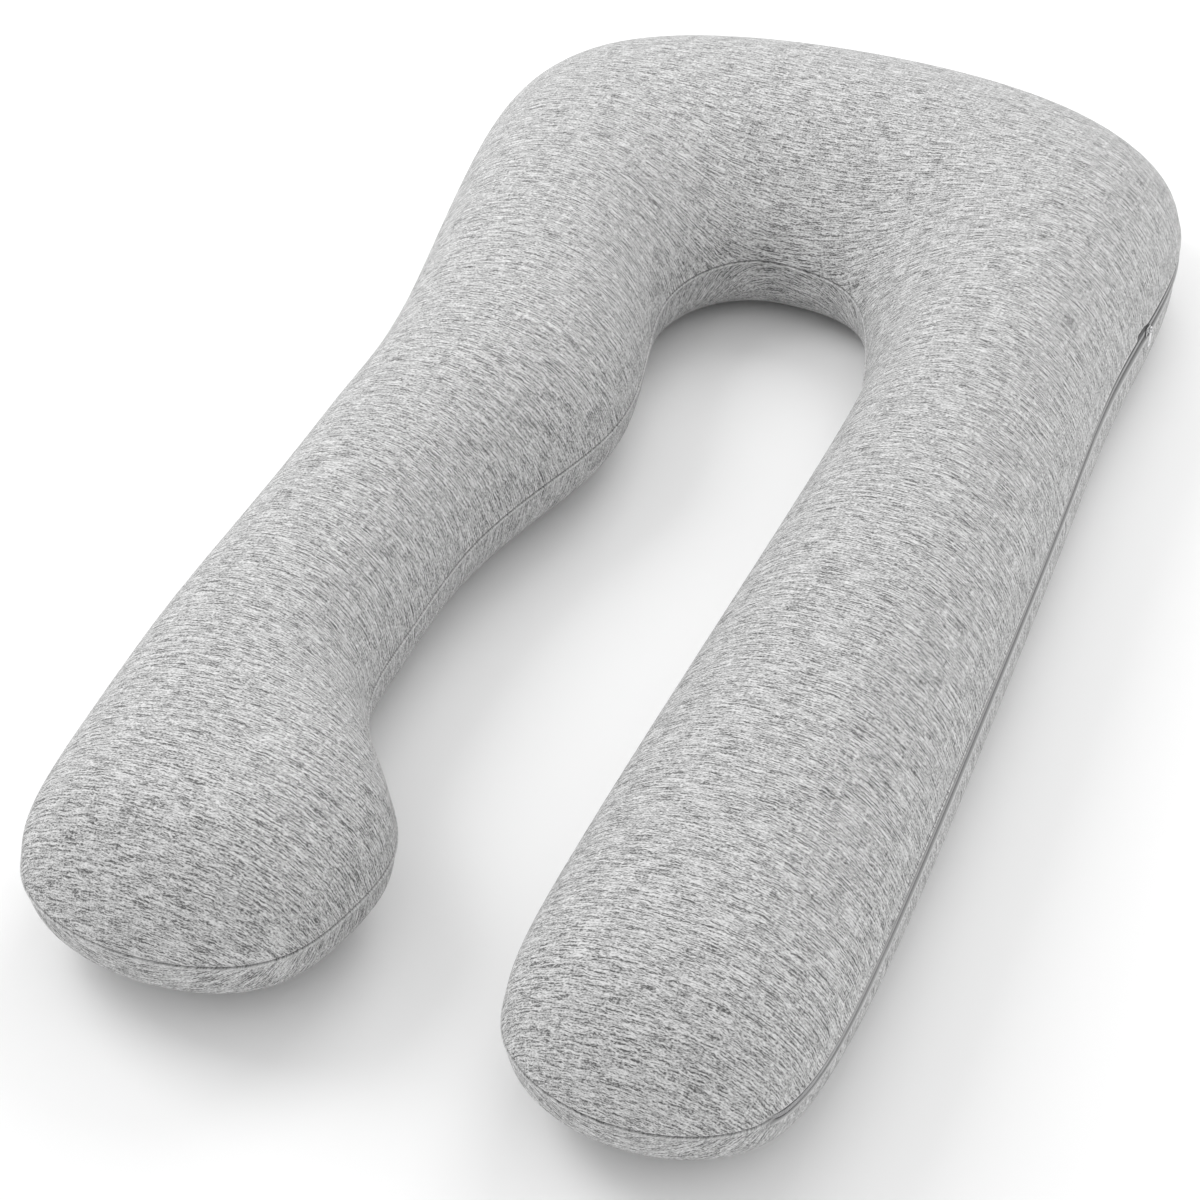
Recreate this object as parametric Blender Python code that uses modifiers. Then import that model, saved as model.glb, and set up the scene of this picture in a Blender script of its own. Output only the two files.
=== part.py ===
"""A U-shaped body pillow, lying flat.

One filled knitted cover: a top and a bottom panel, sewn together along one level seam that runs all
the way round the outline. A zip lies in that seam along the outside of the straight arm, with its
slider near the head bar and a pull tab hanging from the slider.

Metres, +Z up, +Y from the feet of the arms towards the head bar, +X towards the straight arm.
The underside rests on z = 0, and the origin is the middle of the pillow's base.
"""
from collections import namedtuple
import math

import bmesh
import bpy
from mathutils import Vector

# ---- driving sizes -------------------------------------------------------------------------------
SEAM_HEIGHT = 0.077        # the seam's level above the surface that the pillow lies on
WALL_RISE = 0.040          # how far the upright wall runs above and below the seam
SHOULDER_HEIGHT = 1.01     # height where the top turns from wall to crown, as a share of the crown
FLAT_IN = 0.40             # the underside is flat out to this share of the half width
CAP_SIDE = 0.87            # corner of an arm's round end: share of the half width
CAP_DEPTH = 0.71           # and share of the end's length
CAP_SHOULDER = 0.45        # the round ends' own shoulder
CAP_FOOT = 0.50            # and how far out their underside reaches
SHAPED_END = 0.122         # length of the round end of the shaped arm
STRAIGHT_END = 0.142       # length of the round end of the straight arm
SUBDIVISIONS = 2

GAP = 0.0003               # clearance between pieces that touch

ZIP_HEIGHT = 0.007         # tapes and coil together, as they show between the panels
ZIP_THICKNESS = 0.0014
ZIP_FROM = 10.0            # the zip runs from here to there, counted in sections along the outer seam
ZIP_TO = 15.0
SLIDER_AT = 10.875         # the slider's place, counted the same way

SLIDER_LENGTH = 0.013
SLIDER_HEIGHT = 0.008
SLIDER_PLATE = 0.0022
SLIDER_ROUNDING = 0.0006
BAIL_REACH = 0.0036        # how far the bail stands off the slider's plate
BAIL_BAR = 0.0013
BAIL_SPAN = 0.0095
TAB_LENGTH = 0.020
TAB_WIDTH = 0.0052
TAB_THICKNESS = 0.0012
TAB_ROUNDING = 0.0016
TAB_EYE = 0.0022
TAB_EYE_WALL = 0.0012      # metal left above the eye

# Sections across the pillow, from the foot of the shaped arm, round the head bar, to the foot of the
# straight arm. outer and inner say where the cage meets the seam: x across, y up from the feet.
# crown is the height of the top above the seam. shoulder and foot are shares of the half width:
# where the top turns from wall to crown, and how far out the underside reaches.
Section = namedtuple("Section", "name outer_x outer_y inner_x inner_y crown shoulder foot")
SECTIONS = [
    Section("bulb", -0.325, 0.135, -0.050, 0.135, 0.093, 0.58, 0.63),
    Section("bulb top", -0.335, 0.220, -0.035, 0.220, 0.092, 0.54, 0.64),
    Section("neck", -0.340, 0.320, -0.155, 0.320, 0.091, 0.51, 0.64),
    Section("shaft", -0.340, 0.435, -0.150, 0.435, 0.091, 0.54, 0.63),
    Section("shaft top", -0.340, 0.565, -0.160, 0.565, 0.091, 0.54, 0.62),
    Section("bump", -0.350, 0.690, -0.125, 0.690, 0.093, 0.54, 0.62),
    Section("bump top", -0.345, 0.815, -0.085, 0.815, 0.102, 0.56, 0.66),
    Section("shaped side of the bar", -0.435, 1.185, -0.165, 1.005, 0.112, 0.52, 0.78),
    Section("shaped corner", -0.435, 1.415, -0.100, 1.110, 0.124, 0.45, 0.87),
    Section("middle of the bar", -0.035, 1.485, -0.045, 1.105, 0.128, 0.45, 0.82),
    Section("straight corner", 0.345, 1.425, 0.040, 1.090, 0.119, 0.48, 0.84),
    Section("straight side of the bar", 0.295, 1.065, 0.090, 0.925, 0.108, 0.52, 1.05),
    Section("arm top", 0.310, 0.860, 0.095, 0.860, 0.100, 0.56, 0.99),
    Section("arm middle", 0.320, 0.500, 0.085, 0.500, 0.094, 0.58, 0.96),
    Section("arm foot", 0.330, 0.140, 0.075, 0.140, 0.088, 0.51, 0.96),
]

# A point of the cage along the seam, with the middle, crown, shoulder and foot of its own section.
SeamPoint = namedtuple("SeamPoint", "place middle crown shoulder foot")


# ---- scene, materials and small helpers -------------------------------------------------------------
def clear_scene():
    for thing in list(bpy.data.objects):
        bpy.data.objects.remove(thing, do_unlink=True)


def new_collection(name):
    group = bpy.data.collections.new(name)
    bpy.context.scene.collection.children.link(group)
    return group


def new_material(name, colour, roughness, metallic=0.0):
    material = bpy.data.materials.new(name)
    material.use_nodes = True
    shader = material.node_tree.nodes["Principled BSDF"]
    shader.inputs["Base Color"].default_value = (*colour, 1.0)
    shader.inputs["Roughness"].default_value = roughness
    shader.inputs["Metallic"].default_value = metallic
    material.diffuse_color = (*colour, 1.0)
    return material


def new_object(name, bm, group, material=None):
    bmesh.ops.recalc_face_normals(bm, faces=bm.faces)
    mesh = bpy.data.meshes.new(name)
    bm.to_mesh(mesh)
    bm.free()
    thing = bpy.data.objects.new(name, mesh)
    group.objects.link(thing)
    if material:
        mesh.materials.append(material)
    return thing


def box_mesh(low, high):
    """A box between two corners, as a bmesh."""
    low, high = Vector(low), Vector(high)
    bm = bmesh.new()
    bmesh.ops.create_cube(bm, size=1.0)
    bmesh.ops.scale(bm, vec=high - low, verts=bm.verts)
    bmesh.ops.translate(bm, vec=(low + high) / 2, verts=bm.verts)
    return bm


def add_bevel(thing, width, segments):
    bevel = thing.modifiers.new("rounded edges", "BEVEL")
    bevel.width = width
    bevel.segments = segments


def add_boolean(thing, tool, operation):
    boolean = thing.modifiers.new(operation.lower(), "BOOLEAN")
    boolean.operation = operation
    boolean.solver = "EXACT"
    boolean.object = tool
    tool.hide_render = True
    tool.display_type = "WIRE"


# ---- the filled cover -----------------------------------------------------------------------------
def round_end(section, length, first, last):
    """The three cage points that carry the seam round an arm's foot, from one side to the other."""
    middle = (first + last) / 2
    half = first - middle
    down = Vector((0.0, -length))
    places = [
        middle + half * CAP_SIDE + down * CAP_DEPTH,
        middle + down,
        middle - half * CAP_SIDE + down * CAP_DEPTH,
    ]
    return [SeamPoint(place, middle, section.crown, CAP_SHOULDER, CAP_FOOT) for place in places]


def seam_outline():
    """The closed loop of cage points along the seam: outer side, straight foot, inner side, shaped foot."""
    outer_side = []
    inner_side = []
    for section in SECTIONS:
        outer = Vector((section.outer_x, section.outer_y))
        inner = Vector((section.inner_x, section.inner_y))
        middle = (outer + inner) / 2
        shape = (middle, section.crown, section.shoulder, section.foot)
        outer_side.append(SeamPoint(outer, *shape))
        inner_side.append(SeamPoint(inner, *shape))
    straight_foot = round_end(SECTIONS[-1], STRAIGHT_END, outer_side[-1].place, inner_side[-1].place)
    shaped_foot = round_end(SECTIONS[0], SHAPED_END, inner_side[0].place, outer_side[0].place)
    return outer_side + straight_foot + inner_side[::-1] + shaped_foot


def add_ring(bm, outline, share, height):
    """One closed row of cage points, drawn in to a share of the half width, at its own height."""
    ring = []
    for point in outline:
        inwards = share(point)
        place = point.middle + (point.place - point.middle) * inwards
        ring.append(bm.verts.new((place.x, place.y, height(point))))
    return ring


def join_rings(bm, upper, lower):
    for this in range(len(upper)):
        following = (this + 1) % len(upper)
        bm.faces.new((upper[this], upper[following], lower[following], lower[this]))


def close_panel(bm, ring, spine):
    """Fill a panel from its ring to the row of points along the middle of the pillow."""
    count = len(spine)
    outer = ring[:count]
    straight_foot = ring[count:count + 3]
    inner = ring[count + 3:2 * count + 3][::-1]
    shaped_foot = ring[2 * count + 3:]
    for this in range(count - 1):
        bm.faces.new((outer[this], spine[this], spine[this + 1], outer[this + 1]))
        bm.faces.new((inner[this], inner[this + 1], spine[this + 1], spine[this]))
    for start, foot, side, other in (
        (spine[-1], straight_foot, outer[-1], inner[-1]),
        (spine[0], shaped_foot, inner[0], outer[0]),
    ):
        bm.faces.new((side, start, foot[1], foot[0]))
        bm.faces.new((start, other, foot[2], foot[1]))


def make_cover(outline, group, material):
    bm = bmesh.new()
    rings = [
        add_ring(bm, outline, lambda p: p.shoulder, lambda p: SEAM_HEIGHT + p.crown * SHOULDER_HEIGHT),
        add_ring(bm, outline, lambda p: 1.0, lambda p: SEAM_HEIGHT + WALL_RISE),
        add_ring(bm, outline, lambda p: 1.0, lambda p: SEAM_HEIGHT),
        add_ring(bm, outline, lambda p: 1.0, lambda p: SEAM_HEIGHT - WALL_RISE),
        add_ring(bm, outline, lambda p: p.foot, lambda p: 0.0),
        add_ring(bm, outline, lambda p: FLAT_IN, lambda p: 0.0),
    ]
    for upper, lower in zip(rings, rings[1:]):
        join_rings(bm, upper, lower)
    along = outline[:len(SECTIONS)]
    ridge = [bm.verts.new((p.middle.x, p.middle.y, SEAM_HEIGHT + p.crown)) for p in along]
    keel = [bm.verts.new((p.middle.x, p.middle.y, 0.0)) for p in along]
    close_panel(bm, rings[0], ridge)
    close_panel(bm, rings[-1], keel)
    cover = new_object("pillow_body", bm, group, material)
    smooth = cover.modifiers.new("soft form", "SUBSURF")
    smooth.levels = SUBDIVISIONS
    smooth.render_levels = SUBDIVISIONS
    cover.data.shade_smooth()
    return cover


# ---- the seam line that the zip follows -------------------------------------------------------------
def seam_place(outline, place):
    """The finished seam at a place counted in cage points: the curve that the soft form settles to."""
    start = math.floor(place)
    t = place - start
    weights = ((1 - t) ** 3, 3 * t ** 3 - 6 * t ** 2 + 4, -3 * t ** 3 + 3 * t ** 2 + 3 * t + 1, t ** 3)
    spot = Vector((0.0, 0.0))
    for step, weight in enumerate(weights, start=-1):
        spot += outline[(start + step) % len(outline)].place * (weight / 6)
    return spot


def outward(first, last):
    """The level direction out of the pillow, square to a stretch of the seam."""
    along = (last - first).normalized()
    return Vector((-along.y, along.x))


def offset_path(path, distance):
    """The path moved outwards by the same distance from each of its straight stretches."""
    moved = []
    normals = [outward(a, b) for a, b in zip(path, path[1:])]
    for spot, before, after in zip(path, [normals[0]] + normals, normals + [normals[-1]]):
        moved.append(spot + (before + after) * (distance / (1 + before.dot(after))))
    return moved


def make_zip(outline, group, material):
    """Tapes and coil as one band on edge, along the seam."""
    steps = 2 ** SUBDIVISIONS
    places = [number / steps for number in range(round(ZIP_FROM * steps), round(ZIP_TO * steps) + 1)]
    path = offset_path([seam_place(outline, place) for place in places], GAP)
    bm = bmesh.new()
    row = [bm.verts.new((spot.x, spot.y, SEAM_HEIGHT - ZIP_HEIGHT / 2)) for spot in path]
    edges = [bm.edges.new(pair) for pair in zip(row, row[1:])]
    raised = bmesh.ops.extrude_edge_only(bm, edges=edges)["geom"]
    raised = [piece for piece in raised if isinstance(piece, bmesh.types.BMVert)]
    bmesh.ops.translate(bm, vec=(0.0, 0.0, ZIP_HEIGHT), verts=raised)
    band = new_object("zip_band", bm, group, material)
    outer_first = Vector((*outward(path[0], path[1]), 0.0))
    if band.data.polygons[0].normal.dot(outer_first) < 0:
        band.data.flip_normals()
    wall = band.modifiers.new("tape thickness", "SOLIDIFY")
    wall.thickness = ZIP_THICKNESS
    wall.offset = 1.0
    wall.use_even_offset = True
    return band


def stand_on_zip(thing, outline):
    """Put a piece on the zip's outer face: its own x along the seam, its y straight out."""
    step = 0.5 / 2 ** SUBDIVISIONS
    first = seam_place(outline, SLIDER_AT - step)
    last = seam_place(outline, SLIDER_AT + step)
    spot = (first + last) / 2 + outward(first, last) * (2 * GAP + ZIP_THICKNESS)
    along = last - first
    thing.location = (spot.x, spot.y, SEAM_HEIGHT)
    thing.rotation_euler.z = math.atan2(along.y, along.x)


def make_slider(outline, group, cutters, material):
    """A plate across the coil, with a square bail standing on it."""
    half = Vector((SLIDER_LENGTH / 2, 0.0, SLIDER_HEIGHT / 2))
    plate = box_mesh(-half, half + Vector((0.0, SLIDER_PLATE, 0.0)))
    slider = new_object("zip_slider", plate, group, material)
    add_bevel(slider, SLIDER_ROUNDING, 2)
    sunk = SLIDER_PLATE / 2
    reach = SLIDER_PLATE + BAIL_REACH
    bail = box_mesh((-BAIL_SPAN / 2, sunk, -BAIL_BAR / 2), (BAIL_SPAN / 2, reach, BAIL_BAR / 2))
    bail = new_object("bail", bail, cutters)
    window_half = BAIL_SPAN / 2 - BAIL_BAR
    window = box_mesh((-window_half, 0.0, -BAIL_BAR), (window_half, reach - BAIL_BAR, BAIL_BAR))
    window = new_object("bail_window", window, cutters)
    add_boolean(bail, window, "DIFFERENCE")
    add_boolean(slider, bail, "UNION")
    for piece in (slider, bail, window):
        stand_on_zip(piece, outline)
    return slider


def make_pull_tab(outline, group, cutters, material):
    """A flat tab with an eye, hanging from the bail's leg on the side of the foot."""
    leg = BAIL_SPAN / 2 - BAIL_BAR / 2
    eye_top = BAIL_BAR / 2 + GAP
    top = eye_top + TAB_EYE_WALL
    inner = SLIDER_PLATE + GAP
    tab = box_mesh(
        (leg - TAB_WIDTH / 2, inner, top - TAB_LENGTH),
        (leg + TAB_WIDTH / 2, inner + TAB_THICKNESS, top),
    )
    upright = [edge for edge in tab.edges if abs(edge.verts[0].co.y - edge.verts[1].co.y) > GAP]
    bmesh.ops.bevel(
        tab, geom=upright, offset=TAB_ROUNDING, segments=3, profile=0.5, affect="EDGES", material=-1)
    tab = new_object("zip_pull", tab, group, material)
    eye = box_mesh(
        (leg - TAB_EYE / 2, 0.0, eye_top - TAB_EYE),
        (leg + TAB_EYE / 2, inner + 2 * TAB_THICKNESS, eye_top),
    )
    eye = new_object("tab_eye", eye, cutters)
    add_boolean(tab, eye, "DIFFERENCE")
    for piece in (tab, eye):
        stand_on_zip(piece, outline)
    return tab


# ---- the whole pillow -----------------------------------------------------------------------------
def centre_on_base(things):
    """Move everything so that the origin is the middle of the pillow's box, at the base."""
    bpy.context.view_layer.update()
    graph = bpy.context.evaluated_depsgraph_get()
    corners = []
    for thing in things:
        if thing.hide_render:
            continue
        evaluated = thing.evaluated_get(graph)
        corners += [evaluated.matrix_world @ vertex.co for vertex in evaluated.data.vertices]
    middle_x = (min(c.x for c in corners) + max(c.x for c in corners)) / 2
    middle_y = (min(c.y for c in corners) + max(c.y for c in corners)) / 2
    for thing in things:
        thing.location.x -= middle_x
        thing.location.y -= middle_y


def main():
    clear_scene()
    group = new_collection("body_pillow")
    cutters = new_collection("cutters")
    jersey = new_material("heather_jersey", (0.56, 0.56, 0.56), 0.95)
    tape = new_material("zip_tape", (0.42, 0.42, 0.43), 0.75)
    metal = new_material("zip_metal", (0.72, 0.72, 0.73), 0.32, 1.0)
    outline = seam_outline()
    make_cover(outline, group, jersey)
    make_zip(outline, group, tape)
    make_slider(outline, group, cutters, metal)
    make_pull_tab(outline, group, cutters, metal)
    centre_on_base(list(group.objects) + list(cutters.objects))


main()
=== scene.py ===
# %% [markdown]
# # A U-shaped body pillow in heathered grey jersey
#
# The real pillow is two panels of knitted jersey, a top one and a bottom one, sewn together along one
# level seam and stuffed with fibre. A zip is sewn into that seam along the outside of the straight arm.
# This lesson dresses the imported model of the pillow: first the filled cover with its seam, then the
# zip, then the small metal slider with its pull tab, and last the floor, the lights and the camera.

# %% Load the frame
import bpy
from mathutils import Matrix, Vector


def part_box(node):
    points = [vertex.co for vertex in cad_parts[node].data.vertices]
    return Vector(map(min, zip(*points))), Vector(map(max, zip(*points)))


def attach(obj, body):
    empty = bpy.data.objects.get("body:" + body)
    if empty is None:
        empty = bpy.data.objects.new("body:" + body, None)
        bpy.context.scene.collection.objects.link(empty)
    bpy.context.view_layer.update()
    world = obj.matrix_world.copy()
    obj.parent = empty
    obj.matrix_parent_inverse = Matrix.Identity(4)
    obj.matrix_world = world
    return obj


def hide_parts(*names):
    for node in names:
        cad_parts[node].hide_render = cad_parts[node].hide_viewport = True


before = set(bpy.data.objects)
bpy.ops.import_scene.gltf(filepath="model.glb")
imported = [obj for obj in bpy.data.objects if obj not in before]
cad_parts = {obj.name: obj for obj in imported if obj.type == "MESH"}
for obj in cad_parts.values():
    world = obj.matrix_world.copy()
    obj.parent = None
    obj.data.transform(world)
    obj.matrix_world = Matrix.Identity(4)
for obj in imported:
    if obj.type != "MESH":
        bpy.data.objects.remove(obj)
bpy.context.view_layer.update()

# %% The modules and the unit that the later cells use
import math

import bmesh
import bpy
import numpy as np
from mathutils import Matrix, Vector
from mathutils.kdtree import KDTree

MM = 0.001
scene = bpy.context.scene

# %% [markdown]
# ## Helpers for pieces
#
# Every piece ends in the same way: a bmesh becomes a mesh, the mesh becomes an object at the origin,
# and the object rides on the pillow's only body. Modifiers are applied at once, by asking Blender for
# the finished mesh, so that the next cell can work on real points.

# %% Make a piece, and apply its modifiers
def new_piece(name, bm, material=None):
    """Turn a bmesh into a smooth object at the origin that rides on the pillow."""
    mesh = bpy.data.meshes.new(name)
    bm.to_mesh(mesh)
    bm.free()
    mesh.shade_smooth()
    piece = bpy.data.objects.new(name, mesh)
    scene.collection.objects.link(piece)
    if material:
        mesh.materials.append(material)
    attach(piece, "root")
    return piece


def apply_modifiers(piece):
    """Replace a piece's mesh by what its modifiers make of it."""
    graph = bpy.context.evaluated_depsgraph_get()
    finished = bpy.data.meshes.new_from_object(
        piece.evaluated_get(graph), preserve_all_data_layers=True, depsgraph=graph)
    piece.modifiers.clear()
    piece.data = finished


def subdivide_smoothly(piece, levels):
    """Subdivide a piece the way soft things round off, and keep the result."""
    smooth = piece.modifiers.new("soft form", "SUBSURF")
    smooth.levels = levels
    smooth.render_levels = levels
    apply_modifiers(piece)
    print(piece.name, "has", len(piece.data.polygons), "faces")


# %% [markdown]
# ## Helpers for materials
#
# A material is a small graph of nodes. These helpers add a node with its settings, and join sockets,
# so that the recipes below read like recipes: which noise, how stretched, and how much of it.

# %% Nodes for materials
def new_material(name):
    """A material with one Principled shader, and the shader itself."""
    material = bpy.data.materials.new(name)
    material.use_nodes = True
    return material, material.node_tree.nodes["Principled BSDF"]


def add_node(material, kind, inputs=(), **settings):
    """A node of one kind, with its settings, and its unlinked inputs filled in."""
    node = material.node_tree.nodes.new(kind)
    for name, value in settings.items():
        setattr(node, name, value)
    for name, value in dict(inputs).items():
        node.inputs[name].default_value = value
    return node


def link(material, source, target):
    """Join an output socket to an input socket."""
    material.node_tree.links.new(source, target)


def calculate(material, operation, first, second):
    """A Math node. Each side is a socket or a plain number."""
    math_node = add_node(material, "ShaderNodeMath", operation=operation)
    for place, value in enumerate((first, second)):
        if isinstance(value, float):
            math_node.inputs[place].default_value = value
        else:
            link(material, value, math_node.inputs[place])
    return math_node.outputs[0]


# %% Noises, steps, shades and relief
def stretched_noise(material, vector, length, width, detail, shift):
    """Noise whose spots are about length long across the cloth and width wide along it, in metres."""
    stretch = add_node(
        material, "ShaderNodeMapping",
        {"Scale": (1.0 / length, 1.0 / width, 1.0), "Location": (shift, shift, 0.0)})
    noise = add_node(
        material, "ShaderNodeTexNoise",
        {"Scale": 1.0, "Detail": detail}, noise_dimensions="2D")
    link(material, vector, stretch.inputs["Vector"])
    link(material, stretch.outputs["Vector"], noise.inputs["Vector"])
    return noise.outputs["Fac"]


def step_between(material, value, edges, low, high):
    """A smooth step: low below the first edge, high above the second one."""
    step = add_node(
        material, "ShaderNodeMapRange",
        {"From Min": edges[0], "From Max": edges[1], "To Min": low, "To Max": high},
        interpolation_type="SMOOTHSTEP")
    link(material, value, step.inputs["Value"])
    return step.outputs["Result"]


def shade_ramp(material, value, stops):
    """Turn a value into a shade. Each stop is a value from 0 to 1, the grey there, and its blue."""
    ramp = add_node(material, "ShaderNodeValToRGB")
    elements = ramp.color_ramp.elements
    while len(elements) < len(stops):
        elements.new(0.5)
    for element, (place, grey, blue) in zip(elements, stops):
        element.position = place
        element.color = (grey, grey, blue, 1.0)
    link(material, value, ramp.inputs["Fac"])
    return ramp.outputs["Color"]


def add_relief(material, shader, height, strength, depth):
    """Let a value catch the light as if it stood out of the surface, by up to depth."""
    relief = add_node(material, "ShaderNodeBump", {"Strength": strength, "Distance": depth})
    link(material, height, relief.inputs["Height"])
    link(material, relief.outputs["Normal"], shader.inputs["Normal"])


# %% [markdown]
# ## The jersey
#
# Heather jersey is knitted from yarn spun of darker and lighter fibres, so it is covered with fine
# streaks that all run the same way, across the cloth. They could be modelled as strands, but there are
# far too many of them, so they are a recipe of noises of several sizes, all stretched across the
# cloth: long fibres, short flecks and grain. Light fibres that lie on top come from two more noises:
# where such a noise passes through its middle value it draws a thin wavy line. A few single fibres are
# darker. Each noise is shifted, so that no two of them line up.
#
# Everything follows the cover's own flat pattern, so the streaks bend with the cloth round the arms,
# and a slow wobble keeps them from running like ruled lines. The same tones make a little relief.

# %% How light the streaked cloth is at each place
STREAKS = (                  # length across the cloth and width along it in mm, share, detail, shift
    (27.0, 1.3, 0.58, 0.0, 0.0),        # long fibres
    (18.0, 1.45, 0.48, 0.0, 2.3),
    (7.0, 1.05, 0.60, 1.0, 4.6),        # flecks
    (2.0, 0.88, 1.10, 1.0, 6.9))        # grain
LIGHT_FIBRES = (             # length and width in mm, share, shift
    (13.0, 2.4, 0.22, 51.7),
    (7.0, 1.7, 0.14, 55.8))
LIGHT_FIBRE_EDGES = (0.40, 0.50)        # how near to its middle value the noise is, 0.5 at it
DARK_FIBRE = (14.0, 1.1, 0.06, 31.7)    # length and width in mm, share, shift
DARK_FIBRE_EDGES = (0.62, 0.78)         # how high the noise is
WOBBLE_LENGTH = 9.0 * MM
WOBBLE_ACROSS = 0.9 * MM
WOBBLE_ALONG = 1.8 * MM


def wobbly(material, vector):
    """The same place on the cloth, moved about a little."""
    noise = add_node(
        material, "ShaderNodeTexNoise", {"Scale": 1.0 / WOBBLE_LENGTH, "Detail": 1.0},
        noise_dimensions="2D")
    link(material, vector, noise.inputs["Vector"])
    moved = add_node(material, "ShaderNodeVectorMath", operation="MULTIPLY_ADD")
    moved.inputs[1].default_value = (WOBBLE_ACROSS, WOBBLE_ALONG, 0.0)
    link(material, noise.outputs["Color"], moved.inputs[0])
    link(material, vector, moved.inputs[2])
    return moved.outputs["Vector"]


def streaked_tone(material, cloth):
    """Start at a middle tone and add each noise's share of lighter and darker."""
    tone = 0.5
    for length, width, share, detail, shift in STREAKS:
        noise = stretched_noise(material, cloth, length * MM, width * MM, detail, shift)
        centred = calculate(material, "SUBTRACT", noise, 0.5)
        tone = calculate(material, "ADD", calculate(material, "MULTIPLY", centred, share), tone)
    for length, width, share, shift in LIGHT_FIBRES:
        noise = stretched_noise(material, cloth, length * MM, width * MM, 0.0, shift)
        nearness = calculate(material, "PINGPONG", noise, 0.5)
        fibre = step_between(material, nearness, LIGHT_FIBRE_EDGES, -0.5 * share, share)
        tone = calculate(material, "ADD", tone, fibre)
    length, width, share, shift = DARK_FIBRE
    noise = stretched_noise(material, cloth, length * MM, width * MM, 0.0, shift)
    fibre = step_between(material, noise, DARK_FIBRE_EDGES, 0.0, share)
    return calculate(material, "SUBTRACT", tone, fibre)


# %% [markdown]
# Two attributes of the cover, made further down, change this cloth at the seam. Where the jersey is
# folded over, its streaks would be drawn out into long smears, so the tone fades to an even one, which
# is lighter than the cloth's middle: a painted highlight on the ledge and on the zip's lips. Deep in
# the seam's crease and in the zip's groove hardly any light gets, so the colour fades to dark, as
# painted shade.

# %% Heather jersey
# the even tone of folded jersey, lighter than the cloth's middle: a painted highlight
FOLD_HIGHLIGHT_TONE = 0.70
# painted shade deep in the crease and the groove: how strong it is, and how dark its grey
SEAM_DARKNESS = 0.85
PAINTED_SHADE_GREY = 0.06
JERSEY_SHADES = (            # tone, grey, blue
    (0.04, 0.12, 0.12),
    (0.50, 0.53, 0.53),
    (0.86, 0.73, 0.73))
JERSEY_RELIEF = 0.5 * MM


# Folded jersey goes to one even, lighter tone: a painted highlight on the ledge and the lips.
def even_and_highlit_where_folded(material, tone):
    fold = add_node(material, "ShaderNodeAttribute", attribute_name="seam_fold_highlight")
    change = calculate(material, "SUBTRACT", FOLD_HIGHLIGHT_TONE, tone)
    change = calculate(material, "MULTIPLY", change, fold.outputs["Fac"])
    return calculate(material, "ADD", tone, change)


# Painted shade: the colour fades to a dark grey where the seam_shade attribute is high.
def painted_shade_in_seam(material, colour):
    seam = add_node(material, "ShaderNodeAttribute", attribute_name="seam_shade")
    darkness = calculate(material, "MULTIPLY", seam.outputs["Fac"], SEAM_DARKNESS)
    darkened = add_node(material, "ShaderNodeMix", data_type="RGBA")
    darkened.inputs["B"].default_value = (PAINTED_SHADE_GREY, PAINTED_SHADE_GREY, PAINTED_SHADE_GREY, 1.0)
    link(material, darkness, darkened.inputs["Factor"])
    link(material, colour, darkened.inputs["A"])
    return darkened.outputs["Result"]


def heather_jersey():
    material, shader = new_material("heather_jersey")
    cloth = add_node(material, "ShaderNodeUVMap", uv_map="flat_pattern").outputs["UV"]
    tone = streaked_tone(material, wobbly(material, cloth))
    tone = even_and_highlit_where_folded(material, tone)
    colour = painted_shade_in_seam(material, shade_ramp(material, tone, JERSEY_SHADES))
    link(material, colour, shader.inputs["Base Color"])
    add_relief(material, shader, tone, strength=0.45, depth=JERSEY_RELIEF)
    shader.inputs["Roughness"].default_value = 0.95
    shader.inputs["Specular IOR Level"].default_value = 0.2
    return material


jersey = heather_jersey()
print("the recipe of the jersey has", len(jersey.node_tree.nodes), "nodes")

# %% [markdown]
# ## The cover, step 1: clean faces
#
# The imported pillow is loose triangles. Merging their corners and joining them in pairs gives back the
# even four-sided faces that run round the arms, which subdivide and swell without dents. The seam is
# easy to find: it is the one row of points that is level with the middle of the zip.

# %% Merge the triangles and find the seam
SAME_POINT = 0.01 * MM
SAME_LEVEL = 0.1 * MM

zip_low, zip_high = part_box("zip_band")
SEAM_HEIGHT = (zip_low.z + zip_high.z) / 2


def on_seam(vertex):
    return abs(vertex.co.z - SEAM_HEIGHT) < SAME_LEVEL


cover_mesh = bmesh.new()
cover_mesh.from_mesh(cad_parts["pillow_body"].data)
bmesh.ops.remove_doubles(cover_mesh, verts=cover_mesh.verts, dist=SAME_POINT)
bmesh.ops.join_triangles(
    cover_mesh, faces=cover_mesh.faces, topology_influence=1.5,
    angle_face_threshold=math.radians(60), angle_shape_threshold=math.radians(100))
seam_edges = [edge for edge in cover_mesh.edges if all(on_seam(vertex) for vertex in edge.verts)]
seam_length = sum(edge.calc_length() for edge in seam_edges)
print("the cover has", len(cover_mesh.faces), "faces and a seam of", round(seam_length, 2), "m")

# %% [markdown]
# ## The cover, step 2: its flat pattern
#
# A maker cuts both panels from flat cloth, and the streaks run straight across that flat cloth. Blender
# can unwrap a panel, but it lets the two arms splay, and the streaks would turn with them. So the cover
# is flattened here in the way that a tape measure would do it. Every edge of the mesh is measured
# twice, across the cloth and along it, and one least-squares solve finds the flat places that keep
# all those measurements as well as possible. One unit of the pattern is one metre of cloth.

# %% Measure every edge across and along the cloth
ACROSS = Vector((1.0, 0.0, 0.0))      # on a level spot the streaks run from side to side
ALONG = Vector((0.0, 1.0, 0.0))       # and the cloth's length runs from the feet to the head bar
ANCHOR = 1e-6                         # a weak pull on every point, so that the flat panel can't drift


def cloth_directions(normal, side):
    """Unit vectors across and along the cloth, where it lies with this normal. side is 1 on the top."""
    tilt = Vector((0.0, 0.0, side)).rotation_difference(normal)
    return tilt @ ACROSS, tilt @ ALONG


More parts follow.
